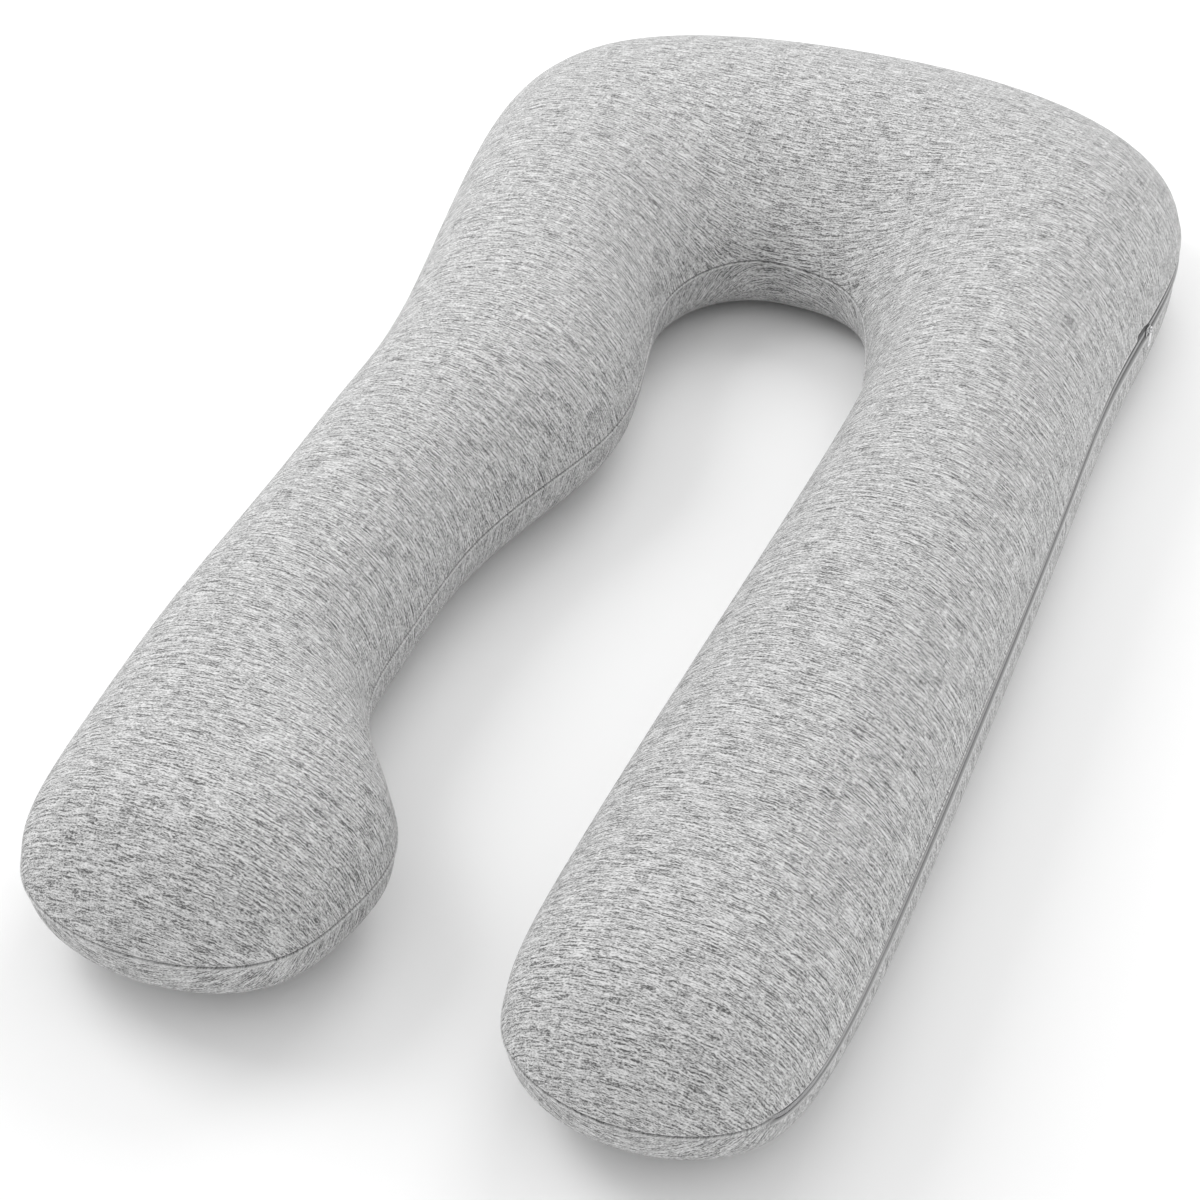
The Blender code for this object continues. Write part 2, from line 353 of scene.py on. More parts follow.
def flat_places(vertices, edges, side):
    """The flat place of each vertex that keeps the measures of all edges as well as possible."""
    number = {vertex: place for place, vertex in enumerate(vertices)}
    pull = np.eye(len(vertices)) * ANCHOR
    wanted = np.array([vertex.co.xy for vertex in vertices]) * ANCHOR
    for edge in edges:
        first, last = edge.verts
        across, along = cloth_directions(first.normal + last.normal, side)
        measured = np.array((across.dot(last.co - first.co), along.dot(last.co - first.co)))
        start, end = number[first], number[last]
        pull[start, start] += 1.0
        pull[end, end] += 1.0
        pull[start, end] -= 1.0
        pull[end, start] -= 1.0
        wanted[end] += measured
        wanted[start] -= measured
    return dict(zip(vertices, np.linalg.solve(pull, wanted)))


def flatten_panel(bm, side, pattern):
    """Write the flat pattern of the top panel (side 1) or the bottom one (side -1)."""
    faces = [face for face in bm.faces if (face.calc_center_median().z - SEAM_HEIGHT) * side > 0]
    vertices = sorted({vertex for face in faces for vertex in face.verts}, key=lambda v: v.index)
    edges = {edge for face in faces for edge in face.edges}
    flat = flat_places(vertices, edges, side)
    for face in faces:
        for loop in face.loops:
            loop[pattern].uv = flat[loop.vert]
    size = np.ptp(list(flat.values()), axis=0)
    print("a panel of", len(faces), "faces lies flat in", size.round(2), "m")


cover_mesh.normal_update()
cover_mesh.verts.index_update()
pattern = cover_mesh.loops.layers.uv.new("flat_pattern")
flatten_panel(cover_mesh, 1, pattern)
flatten_panel(cover_mesh, -1, pattern)
cover = new_piece("filled_cover", cover_mesh, jersey)

# %% [markdown]
# ## The cover, step 3: fill it
#
# Filling pushes jersey outwards everywhere but where it is held: at the seam, and where the pillow
# lies on the bed. Blender's cloth does the same with pressure. The cover is first let in a little,
# then blown up with no gravity, and no point may end up further than a few millimetres from the
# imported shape, so the size stays right. After that the faces are rounded off.

# %% Blow the cover up from inside
LET_IN = 2.5 * MM
SWELL_LIMIT = 4.0 * MM
LYING = 1.5 * MM             # points lower than this lie on the bed
PRESSURE = 4.0
FRAMES = 16


def hold_seam_and_underside(piece):
    """A group of the points that stay where they are, and a list of those that are free."""
    held = piece.vertex_groups.new(name="held")
    free = []
    for vertex in piece.data.vertices:
        if on_seam(vertex) or vertex.co.z < LYING:
            held.add([vertex.index], 1.0, "REPLACE")
        else:
            free.append(vertex)
    return held, free


def blown_up(piece, held):
    """Where the piece's points are once the pressure has pushed on them for some frames."""
    cloth = piece.modifiers.new("filling", "CLOTH")
    cloth.settings.use_pressure = True
    cloth.settings.uniform_pressure_force = PRESSURE
    cloth.settings.vertex_group_mass = held.name
    cloth.settings.quality = 5
    cloth.settings.effector_weights.gravity = 0.0
    cloth.point_cache.frame_start = 1
    cloth.point_cache.frame_end = FRAMES
    for frame_number in range(1, FRAMES + 1):
        scene.frame_set(frame_number)
    graph = bpy.context.evaluated_depsgraph_get()
    return [vertex.co.copy() for vertex in piece.evaluated_get(graph).data.vertices]


def fill(piece):
    shape = [vertex.co.copy() for vertex in piece.data.vertices]
    held, free = hold_seam_and_underside(piece)
    for vertex in free:
        vertex.co -= vertex.normal * LET_IN
    blown = blown_up(piece, held)
    piece.modifiers.clear()
    piece.vertex_groups.clear()
    for vertex in free:
        place = shape[vertex.index]
        move = blown[vertex.index] - place
        if move.length > SWELL_LIMIT:
            move *= SWELL_LIMIT / move.length
        vertex.co = place + move
        vertex.co.z = max(vertex.co.z, 0.0)
    furthest = max((vertex.co - shape[vertex.index]).length for vertex in free)
    print("the filling moved the jersey by up to", round(furthest / MM, 1), "mm")


fill(cover)
subdivide_smoothly(cover, 2)

# %% [markdown]
# ## The cover, step 4: walk along the seam
#
# Several things need to know where they are along the seam: the sewn crease, the lips over the zip,
# the tapes and the slider. So the seam's points are put in order once, starting at the zip's lower
# end and going up the straight arm, and each gets its distance along the seam.

# %% Put the seam's points in order
zip_points = [vertex.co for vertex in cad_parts["zip_band"].data.vertices]
zip_foot_end = min(zip_points, key=lambda point: point.y)
zip_head_end = max(zip_points, key=lambda point: point.y)
slider_low, slider_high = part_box("zip_slider")
slider_middle = (slider_low + slider_high) / 2


def seam_in_order(bm):
    """The seam's points, once round, from the zip's foot end towards its slider."""
    start = min((v for v in bm.verts if on_seam(v)), key=lambda v: (v.co - zip_foot_end).length)
    order = [start]
    while True:
        onward = [
            edge.other_vert(order[-1]) for edge in order[-1].link_edges
            if on_seam(edge.other_vert(order[-1]))]
        onward = [vertex for vertex in onward if vertex not in order[-2:-1]]
        if len(order) > 2 and start in onward:
            break
        order.append(onward[0])
    slider_at = min(range(len(order)), key=lambda i: (order[i].co - slider_middle).length)
    if slider_at > len(order) / 2:
        order = order[:1] + order[:0:-1]
    return order


cover_mesh = bmesh.new()
cover_mesh.from_mesh(cover.data)
cover_mesh.normal_update()
seam_vertices = seam_in_order(cover_mesh)
seam_path = [vertex.co.copy() for vertex in seam_vertices]
seam_out = [Vector((*vertex.normal.xy, 0.0)).normalized() for vertex in seam_vertices]

# %% Measure the distance along the seam
seam_distance = [0.0]
for before, after in zip(seam_path, seam_path[1:]):
    seam_distance.append(seam_distance[-1] + (after - before).length)
seam_finder = KDTree(len(seam_path))
for number, point in enumerate(seam_path):
    seam_finder.insert(point, number)
seam_finder.balance()


def distance_along_seam(place):
    """How far along the seam its point is that lies nearest to a place."""
    return seam_distance[seam_finder.find(place)[1]]


ZIP_LENGTH = distance_along_seam(zip_head_end)
slider_at = distance_along_seam(slider_middle)
print("the seam has", len(seam_path), "points; the zip takes", round(ZIP_LENGTH, 2), "m of it")

# %% [markdown]
# ## The cover, step 5: the sewn crease
#
# Where the panels are sewn together the jersey turns into the seam. What shows is one thin dark line,
# partly painted shade, with the lower panel's edge standing up under it as a narrow ledge that catches
# the light and gets a painted highlight too. Along the zip each panel is folded back instead, so that
# a flat groove with rounded lips is left between them for the tapes and the coil. Below the slider the
# lips soon come closer together, and at the slider's lower end the top one is pushed up.
#
# A seam that is only painted on would look flat from the side. So the crease and the groove are the
# cover's own wall, with extra rows of points cut at set heights and moved in or out by a profile. How
# much painted shade each point gets goes into one attribute of the mesh, and how much the jersey is
# folded over there, which evens its tone and adds a painted highlight, into another.

# %% Two smooth curves that the profiles are made of
def hill(distance, width):
    """A smooth hill, 1 at its top, that has nearly gone twice its width away."""
    return math.exp(-(distance / width) ** 2)


def ease(value):
    """0 up to 0, 1 from 1 on, and a smooth step between them."""
    value = min(max(value, 0.0), 1.0)
    return value * value * (3.0 - 2.0 * value)


# %% The plain seam, for a height above its middle
CREASE_DEPTH = 1.6 * MM
CREASE_WIDTH = 0.6 * MM
CREASE_ABOVE = 0.3 * MM
LINE_ABOVE = 0.05 * MM       # the crease's dark line of painted shade
LINE_WIDTH = 0.6 * MM
LINE_SHADE = 0.65
LEDGE_HEIGHT = 1.0 * MM      # the lower panel's edge
LEDGE_BELOW = 1.7 * MM
LEDGE_WIDTH = 1.0 * MM
LEDGE_FOLD_BELOW = 1.2 * MM  # the jersey that is folded over it, evened and given a painted highlight
LEDGE_FOLD_WIDTH = 0.8 * MM
LEDGE_FOLD_HIGHLIGHT = 0.5


def crease_profile(height):
    crease = CREASE_DEPTH * hill(height - CREASE_ABOVE, CREASE_WIDTH)
    return LEDGE_HEIGHT * hill(height + LEDGE_BELOW, LEDGE_WIDTH) - crease


# painted shade along the crease's line
def crease_shade(height):
    return LINE_SHADE * hill(height - LINE_ABOVE, LINE_WIDTH)


# how much the folded jersey on the ledge is evened and given a painted highlight
def ledge_fold_highlight(height):
    return LEDGE_FOLD_HIGHLIGHT * hill(height + LEDGE_FOLD_BELOW, LEDGE_FOLD_WIDTH)


# %% The groove and the lips of the zip, for a height above its middle
GROOVE_DEPTH = 2.2 * MM
GROOVE_REACH = 6.4 * MM
GROOVE_EDGE = 1.0 * MM
GROOVE_SHADE = 0.9
LIP_HEIGHT = 1.3 * MM
LIP_AT = 7.9 * MM
LIP_INSIDE = 0.9 * MM        # a lip is steep towards the groove
LIP_OUTSIDE = 3.8 * MM       # and falls off slowly away from it
LIP_FOLD_REACH = 7.2 * MM
LIP_FOLD_FADE = 2.4 * MM


def zip_profile(height):
    height = abs(height)
    groove = GROOVE_DEPTH * (1.0 - ease((height - GROOVE_REACH) / GROOVE_EDGE))
    return LIP_HEIGHT * hill(height - LIP_AT, LIP_INSIDE if height < LIP_AT else LIP_OUTSIDE) - groove


# painted shade inside the zip's groove
def groove_shade(height):
    return GROOVE_SHADE * (1.0 - ease((abs(height) - GROOVE_REACH) / (LIP_AT - GROOVE_REACH)))


# how much the jersey on the zip's lips is evened and given a painted highlight
def lip_fold_highlight(height):
    return 1.0 - ease((abs(height) - LIP_FOLD_REACH) / LIP_FOLD_FADE)


# %% Where along the seam the zip is, and how far its lips are apart
ZIP_FADE = 22.0 * MM         # the lips close over this length at each end of the zip
SLIDER_ROOM = 4.2 * MM       # how far the slider's lower end pushes the top lip up
ROOM_BELOW = 15.0 * MM
ROOM_LENGTH = 8.0 * MM
LIPS_CLOSED = 0.69           # how far apart the lips are further down, as a share
CLOSING_LENGTH = 0.28        # the lips come together over this length below the slider


def zip_share(distance):
    """1 along the zip, 0 along the plain seam, and between them near the zip's ends."""
    return ease(distance / ZIP_FADE) * ease((ZIP_LENGTH - distance) / ZIP_FADE)


def height_in_profile(height, distance):
    """The height a point has in the zip's profile, where the lips are closer or pushed up."""
    if height > 0:
        height -= min(height, SLIDER_ROOM) * hill(distance - slider_at + ROOM_BELOW, ROOM_LENGTH)
    opening = ease((distance - slider_at) / CLOSING_LENGTH + 1.0)
    return height / (LIPS_CLOSED + (1.0 - LIPS_CLOSED) * opening)


# %% Cut rows of points beside the seam and shape them
SEAM_ROWS = (                # mm above and below the seam
    0.4, 0.8, 1.3, 1.9, 2.7, 3.5, 4.2, 4.7, 5.2, 5.7, 6.2, 6.6, 7.0, 7.5, 8.2, 9.4, 11.0, 13.0)
ON_ROW = 0.12 * MM           # a point this near to a row is used as one of its points
SEAM_REACH = 16.0 * MM       # further away the cover keeps its shape


def cut_rows(bm):
    for row in SEAM_ROWS:
        for side in (-1, 1):
            level = SEAM_HEIGHT + side * row * MM
            everything = bm.verts[:] + bm.edges[:] + bm.faces[:]
            bmesh.ops.bisect_plane(
                bm, geom=everything, dist=ON_ROW, plane_co=(0.0, 0.0, level), plane_no=(0.0, 0.0, 1.0))


def blend(plain, zipped, share):
    """From the plain seam's value to the zip's."""
    return (1.0 - share) * plain + share * zipped


def shape_seam(bm):
    for name in ("seam_shade", "seam_fold_highlight"):
        bm.verts.layers.float.new(name)
    shade = bm.verts.layers.float["seam_shade"]
    fold = bm.verts.layers.float["seam_fold_highlight"]
    bm.normal_update()
    beside = [v for v in bm.verts if abs(v.co.z - SEAM_HEIGHT) < SEAM_REACH]
    moves = []
    for vertex in beside:
        height = vertex.co.z - SEAM_HEIGHT
        distance = distance_along_seam(vertex.co)
        zip_height = height_in_profile(height, distance)
        share = zip_share(distance)
        push = blend(crease_profile(height), zip_profile(zip_height), share)
        moves.append(Vector((*vertex.normal.xy, 0.0)).normalized() * push)
        # painted shade in the crease and the groove
        vertex[shade] = blend(crease_shade(height), groove_shade(zip_height), share)
        # even tone and painted highlight where the jersey is folded
        vertex[fold] = blend(ledge_fold_highlight(height), lip_fold_highlight(zip_height), share)
    for vertex, move in zip(beside, moves):
        vertex.co += move


cut_rows(cover_mesh)
shape_seam(cover_mesh)
cover_mesh.to_mesh(cover.data)
cover_mesh.free()
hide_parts("pillow_body")
print("the finished cover has", len(cover.data.polygons), "faces")

# %% [markdown]
# ## The zip
#
# In the groove lie two woven tapes with a closed nylon coil on their inner edges. Seen from the front
# the closed coil is two columns of small rounded bars that meet in the middle like a herringbone. Both
# could be swept along the seam, but it is easier to measure something straight. So both are made
# straight and then bent along a curve that follows the seam.

# %% Materials of the zip
# the tapes' greys, darkened partly as painted shade in the gaps beside the coil
TAPE_SHADES = ((0.0, 0.10, 0.102), (1.0, 0.15, 0.153))
COIL_SHADES = ((0.0, 0.32, 0.324), (1.0, 0.43, 0.434))
TAPE_RELIEF = 0.2 * MM


def woven_tape():
    """A dark grey, partly the tape's own and partly painted shade for the gaps beside the coil, with
    fine ribs along the tape.
    """
    material, shader = new_material("woven_tape")
    place = add_node(material, "ShaderNodeTexCoord").outputs["Object"]
    ribs = add_node(
        material, "ShaderNodeTexWave", {"Scale": 450.0, "Distortion": 0.6, "Detail": 1.0},
        bands_direction="Z")
    link(material, place, ribs.inputs["Vector"])
    link(material, shade_ramp(material, ribs.outputs["Fac"], TAPE_SHADES), shader.inputs["Base Color"])
    add_relief(material, shader, ribs.outputs["Fac"], strength=0.4, depth=TAPE_RELIEF)
    shader.inputs["Roughness"].default_value = 0.8
    return material


def nylon_coil():
    """Smooth mid grey, a little cloudy."""
    material, shader = new_material("nylon_coil")
    place = add_node(material, "ShaderNodeTexCoord").outputs["Object"]
    cloudy = add_node(material, "ShaderNodeTexNoise", {"Scale": 160.0, "Detail": 2.0})
    link(material, place, cloudy.inputs["Vector"])
    link(material, shade_ramp(material, cloudy.outputs["Fac"], COIL_SHADES), shader.inputs["Base Color"])
    shader.inputs["Roughness"].default_value = 0.42
    return material


# %% A curve along the zip, and how a straight piece is bent onto it
TAPE_IN = 1.4 * MM           # the tapes lie this deep in the groove
END_DIVE = 3.5 * MM          # at its ends the zip dives into the seam
DIVE_LENGTH = 26.0 * MM
PATH_STEP = 5.0 * MM


def along_zip(distance):
    """The place on the tapes, and the direction out of them, at a distance from the zip's foot end."""
    after = max(1, next(number for number, d in enumerate(seam_distance) if d >= distance))
    before = after - 1
    share = (distance - seam_distance[before]) / (seam_distance[after] - seam_distance[before])
    place = seam_path[before].lerp(seam_path[after], share)
    out = seam_out[before].lerp(seam_out[after], share).normalized()
    from_end = min(distance, ZIP_LENGTH - distance)
    dive = END_DIVE * (1.0 - ease(from_end / DIVE_LENGTH))
    return place - out * (TAPE_IN + dive), out


def make_zip_path():
    curve = bpy.data.curves.new("zip_path", "CURVE")
    curve.dimensions = "3D"
    curve.twist_mode = "Z_UP"
    steps = round(ZIP_LENGTH / PATH_STEP)
    spline = curve.splines.new("POLY")
    spline.points.add(steps)
    for number, point in enumerate(spline.points):
        point.co = (*along_zip(ZIP_LENGTH * number / steps)[0], 1.0)
    path = bpy.data.objects.new("zip_path", curve)
    scene.collection.objects.link(path)
    return path


def bend_along_zip(piece):
    """Bend a straight piece, made along x from the origin with y into the pillow, onto the seam."""
    bend = piece.modifiers.new("bend along the seam", "CURVE")
    bend.object = zip_path
    bend.deform_axis = "POS_X"
    apply_modifiers(piece)


zip_path = make_zip_path()
print("the curve along the zip has", len(zip_path.data.splines[0].points), "points")

# %% [markdown]
# ### The tapes
#
# The two tapes are narrow woven strips. The coil hides where they meet, so one strip stands for both:
# a flat grid, in steps short enough to bend well, that a Solidify modifier makes as thick as tape.

# %% The tapes
TAPE_HEIGHT = 16.0 * MM      # from fold to fold, a little of it under the lips
TAPE_THICKNESS = 0.45 * MM
TAPE_STEP = 6.0 * MM


def make_tapes():
    bm = bmesh.new()
    steps = round(ZIP_LENGTH / TAPE_STEP)
    bmesh.ops.create_grid(bm, x_segments=steps, y_segments=2, size=0.5)
    bmesh.ops.scale(bm, vec=(ZIP_LENGTH, TAPE_HEIGHT, 1.0), verts=bm.verts)
    bmesh.ops.rotate(bm, matrix=Matrix.Rotation(math.pi / 2, 3, "X"), verts=bm.verts)
    bmesh.ops.translate(bm, vec=(ZIP_LENGTH / 2, 0.0, 0.0), verts=bm.verts)
    tapes = new_piece("zip_tapes", bm, woven_tape())
    wall = tapes.modifiers.new("tape thickness", "SOLIDIFY")
    wall.thickness = TAPE_THICKNESS
    wall.offset = 1.0
    bend_along_zip(tapes)
    return tapes


tapes = make_tapes()
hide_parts("zip_band")
print("the tapes have", len(tapes.data.polygons), "faces")

# %% [markdown]
# ### The coil
#
# Each side of a real coil is one nylon wire wound into loops, and of every loop only the outer side
# shows. A wound wire would need very many faces, so each loop is one small bar with rounded edges. An
# Array modifier repeats a pair of them, one of each side, as often as the pitch asks.

# %% The coil
COIL_PITCH = 1.4 * MM
BAR_THICKNESS = 1.2 * MM     # along the zip
BAR_DEPTH = 1.2 * MM         # out of the pillow
BAR_LENGTH = 2.4 * MM        # across the zip
BAR_ROUNDING = 0.25 * MM
BAR_OFF_MIDDLE = 0.95 * MM
BAR_SLANT = math.radians(8)
BAR_SUNK = 0.1 * MM          # how deep the bars sit in the tapes


def add_bar(bm, side):
    """One rounded bar of the coil: side is 1 in the upper column and -1 in the lower one."""
    cube = bmesh.ops.create_cube(bm, size=1.0)["verts"]
    bmesh.ops.scale(bm, vec=(BAR_THICKNESS, BAR_DEPTH, BAR_LENGTH), verts=cube)
    edges = list({edge for vertex in cube for edge in vertex.link_edges})
    rounded = bmesh.ops.bevel(
        bm, geom=edges, offset=BAR_ROUNDING, segments=1, profile=0.5, affect="EDGES", material=-1)
    bar = list({vertex for face in rounded["faces"] for vertex in face.verts})
    bmesh.ops.rotate(bm, matrix=Matrix.Rotation(side * BAR_SLANT, 3, "Y"), verts=bar)
    along = COIL_PITCH * (0.5 + side * 0.25)        # the two columns are half a pitch apart
    inwards = BAR_SUNK - TAPE_THICKNESS - BAR_DEPTH / 2
    bmesh.ops.translate(bm, vec=(along, inwards, side * BAR_OFF_MIDDLE), verts=bar)


def make_coil():
    bm = bmesh.new()
    add_bar(bm, 1)
    add_bar(bm, -1)
    coil = new_piece("zip_coil", bm, nylon_coil())
    row = coil.modifiers.new("a pair of bars at each pitch", "ARRAY")
    row.use_relative_offset = False
    row.use_constant_offset = True
    row.constant_offset_displace = (COIL_PITCH, 0.0, 0.0)
    row.count = int(ZIP_LENGTH / COIL_PITCH)
    print("the coil has", 2 * row.count, "bars")
    bend_along_zip(coil)
    return coil


coil = make_coil()
bpy.data.objects.remove(zip_path)
print("the coil has", len(coil.data.polygons), "faces")

# %% [markdown]
# ## The slider
#
# The slider is a small cast metal shield that rides on the coil, with a bridge that the pull tab hangs
# from. Its outline could be drawn point by point, but a cube does with less: one end is made narrower,
# the corners and the outer edge are bevelled, and an inset hollows the side that faces the coil. The
# bridge is a small four-sided section that is spun through half a turn.

# %% Metal, and the place of the slider
# The lightness makes the slider's metal darker and the tab's lighter, standing partly for how light
# falls on them: painted shade and a painted highlight.
def metal(name, lightness):
    """Bare metal, worn a little unevenly."""
    material, shader = new_material(name)
    place = add_node(material, "ShaderNodeTexCoord").outputs["Object"]
    worn = add_node(material, "ShaderNodeTexNoise", {"Scale": 900.0, "Detail": 3.0})
    link(material, place, worn.inputs["Vector"])
    rough = add_node(material, "ShaderNodeMapRange", {"To Min": 0.22, "To Max": 0.38})
    link(material, worn.outputs["Fac"], rough.inputs["Value"])
    link(material, rough.outputs["Result"], shader.inputs["Roughness"])
    shader.inputs["Base Color"].default_value = (lightness, lightness, 1.01 * lightness, 1.0)
    shader.inputs["Metallic"].default_value = 1.0
    return material


def zip_frame(distance):
    """A matrix with x along the zip, y out of the pillow and z up, at a distance from the foot end."""
    place, out = along_zip(distance)
    up = Vector((0.0, 0.0, 1.0))
    turned = Matrix((out.cross(up), out, up)).transposed().to_4x4()
    return Matrix.Translation(place) @ turned


def edges_through(bm, thickness):
    """The edges that go through a plate, from its inner face to its outer one."""
    return [edge for edge in bm.edges if abs(edge.verts[0].co.y - edge.verts[1].co.y) > thickness / 2]


slider_frame = zip_frame(slider_at)
print("the slider stands at", [round(side, 3) for side in slider_frame.translation])

# %% The slider's plate
SLIDER_LENGTH = 13.0 * MM
SLIDER_HEIGHT = 9.4 * MM
PLATE_THICKNESS = 1.3 * MM
PLATE_LIFT = 1.95 * MM       # the plate rides on the coil
TAIL_TAPER = 0.74            # how high the lower end is, as a share
PLATE_CORNER = 1.9 * MM
PLATE_EDGE = 0.45 * MM
CHANNEL_WALL = 0.9 * MM      # round the hollow that faces the coil
CHANNEL_DEPTH = 0.5 * MM


def add_plate(bm):
    """The shield, with its lower end narrower and the side that faces the coil hollowed."""
    plate = bmesh.ops.create_cube(bm, size=1.0)["verts"]
    bmesh.ops.scale(bm, vec=(SLIDER_LENGTH, PLATE_THICKNESS, SLIDER_HEIGHT), verts=plate)
    bmesh.ops.translate(bm, vec=(0.0, PLATE_LIFT + PLATE_THICKNESS / 2, 0.0), verts=plate)
    tail = [vertex for vertex in plate if vertex.co.x < 0]
    bmesh.ops.scale(bm, vec=(1.0, 1.0, TAIL_TAPER), verts=tail)
    bmesh.ops.bevel(
        bm, geom=edges_through(bm, PLATE_THICKNESS), offset=PLATE_CORNER, segments=4, profile=0.5,
        affect="EDGES", material=-1)
    outer = [face for face in bm.faces if face.normal.y > 0.5]
    under = [face for face in bm.faces if face.normal.y < -0.5]
    bmesh.ops.inset_region(bm, faces=under, thickness=CHANNEL_WALL)
    hollow = list({vertex for face in under for vertex in face.verts})
    bmesh.ops.translate(bm, vec=(0.0, CHANNEL_DEPTH, 0.0), verts=hollow)
    rim = list({edge for face in outer for edge in face.edges})
    bmesh.ops.bevel(
        bm, geom=rim, offset=PLATE_EDGE, segments=3, profile=0.5, affect="EDGES", material=-1)


# %% The slider's bridge
BRIDGE_SPAN = 8.2 * MM
BRIDGE_REACH = 3.5 * MM      # how far it stands out of the plate
BRIDGE_THICKNESS = 1.4 * MM
BRIDGE_WIDTH = 0.8 * BRIDGE_THICKNESS


def add_bridge(bm):
    """A bar that is bent from one end of the plate to the other, over its middle."""
    known = set(bm.verts)
    corners = bmesh.ops.create_grid(bm, x_segments=1, y_segments=1, size=0.5)["verts"]
    bmesh.ops.scale(bm, vec=(BRIDGE_THICKNESS, BRIDGE_WIDTH, 1.0), verts=corners)
    bmesh.ops.rotate(bm, matrix=Matrix.Rotation(math.pi / 2, 3, "X"), verts=corners)
    bmesh.ops.translate(bm, vec=(BRIDGE_SPAN / 2, 0.0, 0.0), verts=corners)
    faces = [face for face in bm.faces if all(vertex in corners for vertex in face.verts)]
    section = faces + list({edge for face in faces for edge in face.edges}) + corners
    bmesh.ops.spin(
        bm, geom=section, cent=(0.0, 0.0, 0.0), axis=(0.0, 0.0, 1.0), angle=math.pi, steps=12)
    bridge = [vertex for vertex in bm.verts if vertex not in known]
    reach = BRIDGE_REACH + PLATE_THICKNESS / 2
    bmesh.ops.scale(bm, vec=(1.0, reach / (BRIDGE_SPAN / 2), 1.0), verts=bridge)
    bmesh.ops.translate(bm, vec=(0.0, PLATE_LIFT + PLATE_THICKNESS / 2, 0.0), verts=bridge)


def make_slider():
    bm = bmesh.new()
    add_plate(bm)
    add_bridge(bm)
    bmesh.ops.recalc_face_normals(bm, faces=bm.faces)
    bmesh.ops.transform(bm, matrix=slider_frame, verts=bm.verts)
    # the slider's metal is made darker, partly painted shade
    return new_piece("zip_slider_shield", bm, metal("darker_metal_painted_shade", 0.5))


slider = make_slider()
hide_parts("zip_slider")
print("the slider has", len(slider.data.polygons), "faces")

# %% [markdown]
# ## The pull tab
#
# The pull tab is a flat stamped strip of metal, with an eye at its top and a hole at its bottom. Its
# metal is made lighter than the slider's, partly a painted highlight. It hangs from the bridge by its
# own weight, so it points straight down. Like the slider it starts as a cube with bevelled corners.
# The two holes are cut by cylinders with a Boolean modifier, which is the short way to a round hole in
# a flat plate, and a Bevel modifier breaks every sharp edge.

# %% The pull tab
TAB_LENGTH = 22.0 * MM
TAB_WIDTH = 6.0 * MM
TAB_NECK = 3.4 * MM          # its width at the top
TAB_THICKNESS = 1.1 * MM
TAB_TOP = 2.0 * MM           # above the middle of the eye
TAB_CORNER = 1.5 * MM
TAB_EDGE = 0.25 * MM
EYE_RADIUS = 1.1 * MM
HOLE_RADIUS = 1.3 * MM
HOLE_ABOVE_END = 3.4 * MM
TAB_OFF_PLATE = 1.2 * MM     # from the plate to the middle of the tab
TAB_TURN = math.radians(-8)  # it hangs a little turned


def make_hole(height, radius):
    """A cylinder that goes right through the tab."""
    bm = bmesh.new()
    bmesh.ops.create_cone(
        bm, cap_ends=True, segments=20, radius1=radius, radius2=radius, depth=4 * TAB_THICKNESS)
    bmesh.ops.rotate(bm, matrix=Matrix.Rotation(math.pi / 2, 3, "X"), verts=bm.verts)
    bmesh.ops.translate(bm, vec=(0.0, 0.0, height), verts=bm.verts)
    return new_piece("hole", bm)


def blank_tab():
    """The tab before its holes are cut."""
    bm = bmesh.new()
    plate = bmesh.ops.create_cube(bm, size=1.0)["verts"]
    bmesh.ops.scale(bm, vec=(TAB_WIDTH, TAB_THICKNESS, TAB_LENGTH), verts=plate)
    bmesh.ops.translate(bm, vec=(0.0, 0.0, TAB_TOP - TAB_LENGTH / 2), verts=plate)
    top = [vertex for vertex in plate if vertex.co.z > 0]
    bmesh.ops.scale(bm, vec=(TAB_NECK / TAB_WIDTH, 1.0, 1.0), verts=top)
    bmesh.ops.bevel(
        bm, geom=edges_through(bm, TAB_THICKNESS), offset=TAB_CORNER, segments=5, profile=0.5,
        affect="EDGES", material=-1)
    # the tab's metal is made lighter, partly a painted highlight
    return new_piece("zip_pull_tab", bm, metal("lighter_metal_painted_highlight", 0.88))


def make_tab():
    tab = blank_tab()
    holes = [make_hole(0.0, EYE_RADIUS), make_hole(TAB_TOP - TAB_LENGTH + HOLE_ABOVE_END, HOLE_RADIUS)]
    for hole in holes:
        cut = tab.modifiers.new("hole", "BOOLEAN")
        cut.operation = "DIFFERENCE"
        cut.solver = "EXACT"
        cut.object = hole
    rounding = tab.modifiers.new("rounded edges", "BEVEL")
    rounding.width = TAB_EDGE
    rounding.segments = 2
    apply_modifiers(tab)
    for hole in holes:
        bpy.data.objects.remove(hole)
    on_bridge = Matrix.Translation((-BRIDGE_SPAN / 2, PLATE_LIFT + PLATE_THICKNESS + TAB_OFF_PLATE, 0.0))
    tab.data.transform(slider_frame @ on_bridge @ Matrix.Rotation(TAB_TURN, 4, "Z"))
    return tab


tab = make_tab()
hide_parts("zip_pull")
print("the pull tab has", len(tab.data.polygons), "faces")

# %% [markdown]
# ## The floor
#
# The photograph is a studio shot on white. A plain white floor takes the pillow's soft shadow, and it
# throws light back up at the pillow's sides.

# %% The floor
FLOOR_SIZE = 8.0
FLOOR_DROP = 0.5 * MM        # so that floor and underside don't lie in one plane

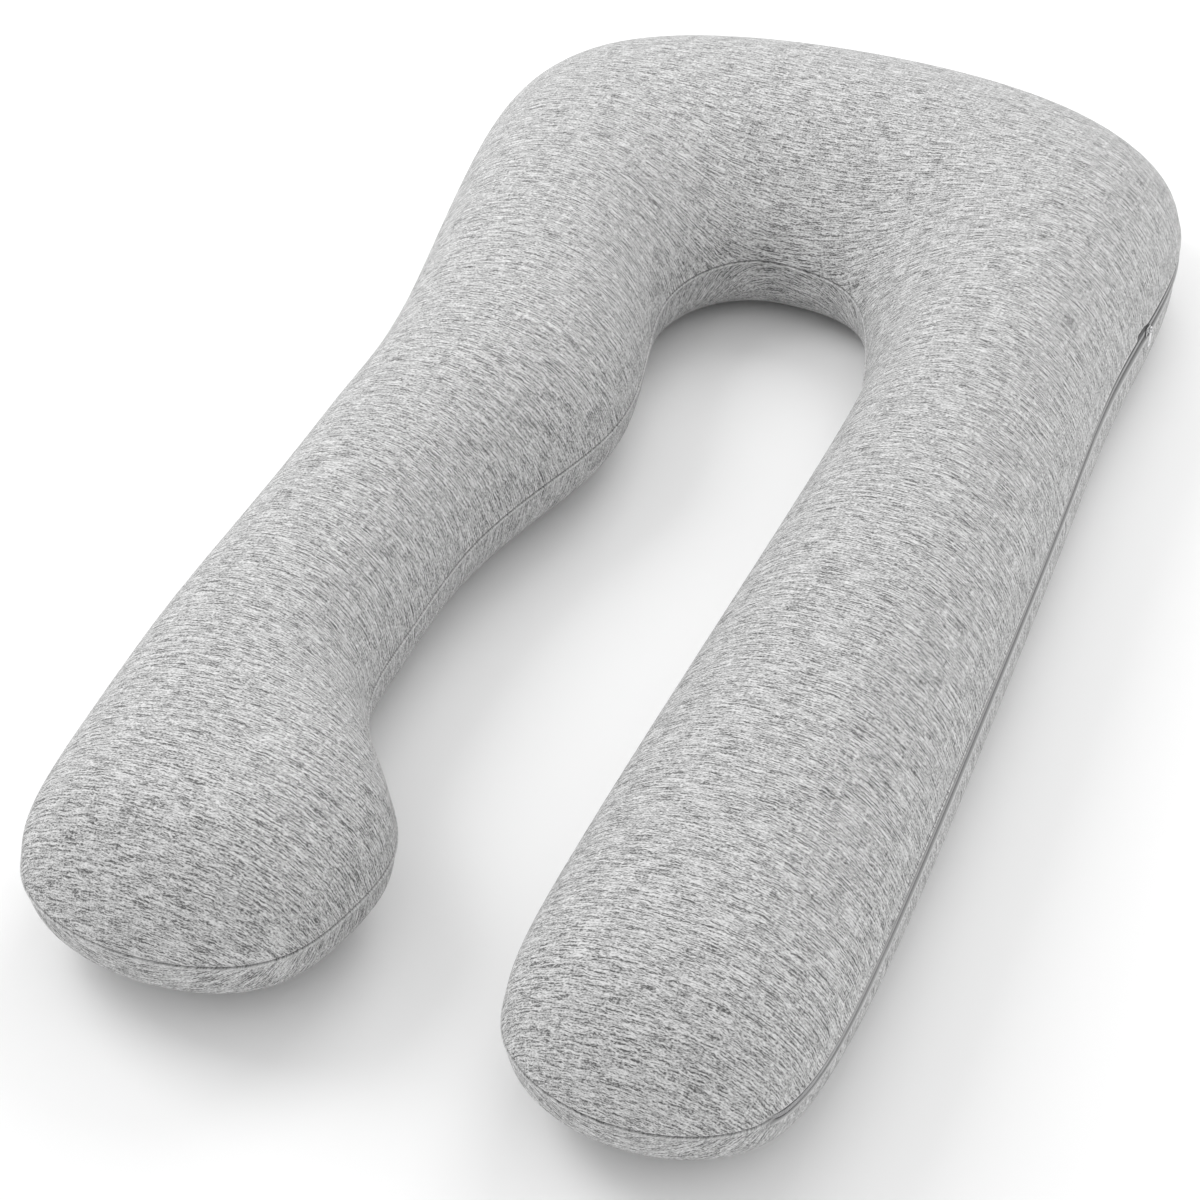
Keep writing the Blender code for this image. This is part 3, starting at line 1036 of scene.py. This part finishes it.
floor_material, floor_shader = new_material("white_floor")
floor_shader.inputs["Base Color"].default_value = (0.92, 0.92, 0.92, 1.0)
floor_shader.inputs["Roughness"].default_value = 0.9
floor_shader.inputs["Specular IOR Level"].default_value = 0.1
floor_bm = bmesh.new()
bmesh.ops.create_grid(floor_bm, x_segments=1, y_segments=1, size=FLOOR_SIZE / 2)
bmesh.ops.translate(floor_bm, vec=(0.0, 0.0, -FLOOR_DROP), verts=floor_bm.verts)
floor_mesh = bpy.data.meshes.new("floor")
floor_bm.to_mesh(floor_mesh)
floor_bm.free()
floor_mesh.materials.append(floor_material)
floor = bpy.data.objects.new("floor", floor_mesh)
scene.collection.objects.link(floor)
print("the floor is", FLOOR_SIZE, "m wide")

# %% [markdown]
# ## The light
#
# The studio's light is soft and comes from everywhere above, which a plain white world gives. In the
# photograph the pillow is a little lighter on its left and at the head bar, and the straight arm's
# outer side isn't dark down by the floor. Large area lights add that without hard shadows: one on the
# left, one behind, and a weak one low on the right.

# %% The light
SKY_BRIGHTNESS = 0.82
SOFTBOXES = (                # name, azimuth and elevation in degrees, power in watts
    ("behind", 180.0, 45.0, 29.0),
    ("left", -90.0, 45.0, 47.0),
    ("low on the right", 105.0, 20.0, 14.0))
SOFTBOX_DISTANCE = 3.5
SOFTBOX_SIZE = 1.8

scene.view_settings.view_transform = "Standard"
world = bpy.data.worlds.new("studio")
world.use_nodes = True
world.node_tree.nodes["Background"].inputs["Color"].default_value = (1.0, 1.0, 1.0, 1.0)
world.node_tree.nodes["Background"].inputs["Strength"].default_value = SKY_BRIGHTNESS
scene.world = world


def aim(thing, target, azimuth, elevation, distance):
    """Put a lamp or a camera round the pillow: azimuth 0 is at the feet and 90 on the right."""
    turn, rise = math.radians(azimuth), math.radians(elevation)
    back = Vector((math.sin(turn) * math.cos(rise), -math.cos(turn) * math.cos(rise), math.sin(rise)))
    thing.location = target + back * distance
    thing.rotation_euler = back.to_track_quat("Z", "Y").to_euler()


for name, azimuth, elevation, power in SOFTBOXES:
    light = bpy.data.lights.new(name, "AREA")
    light.shape = "SQUARE"
    light.size = SOFTBOX_SIZE
    light.energy = power
    lamp = bpy.data.objects.new(name, light)
    scene.collection.objects.link(lamp)
    aim(lamp, Vector((0.0, 0.0, 0.0)), azimuth, elevation, SOFTBOX_DISTANCE)
print("lights:", ", ".join(name for name, *rest in SOFTBOXES))

# %% [markdown]
# ## The camera
#
# The photograph was taken from in front of the feet, a little to the right, looking down. The angles,
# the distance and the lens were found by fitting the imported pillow's outline and seam to the photo's.

# %% The camera
CAMERA_TARGET = Vector((0.0281, -0.1974, SEAM_HEIGHT))
CAMERA_AZIMUTH = 22.41       # degrees to the right of straight in front of the feet
CAMERA_ELEVATION = 38.79
CAMERA_DISTANCE = 2.2896
FOCAL_LENGTH = 81.0          # mm
SENSOR_WIDTH = 36.0          # mm

camera_data = bpy.data.cameras.new("photo_view")
camera_data.lens = FOCAL_LENGTH
camera_data.sensor_width = SENSOR_WIDTH
camera = bpy.data.objects.new("photo_view", camera_data)
scene.collection.objects.link(camera)
aim(camera, CAMERA_TARGET, CAMERA_AZIMUTH, CAMERA_ELEVATION, CAMERA_DISTANCE)
scene.camera = camera
print("the camera stands at", [round(side, 2) for side in camera.location])
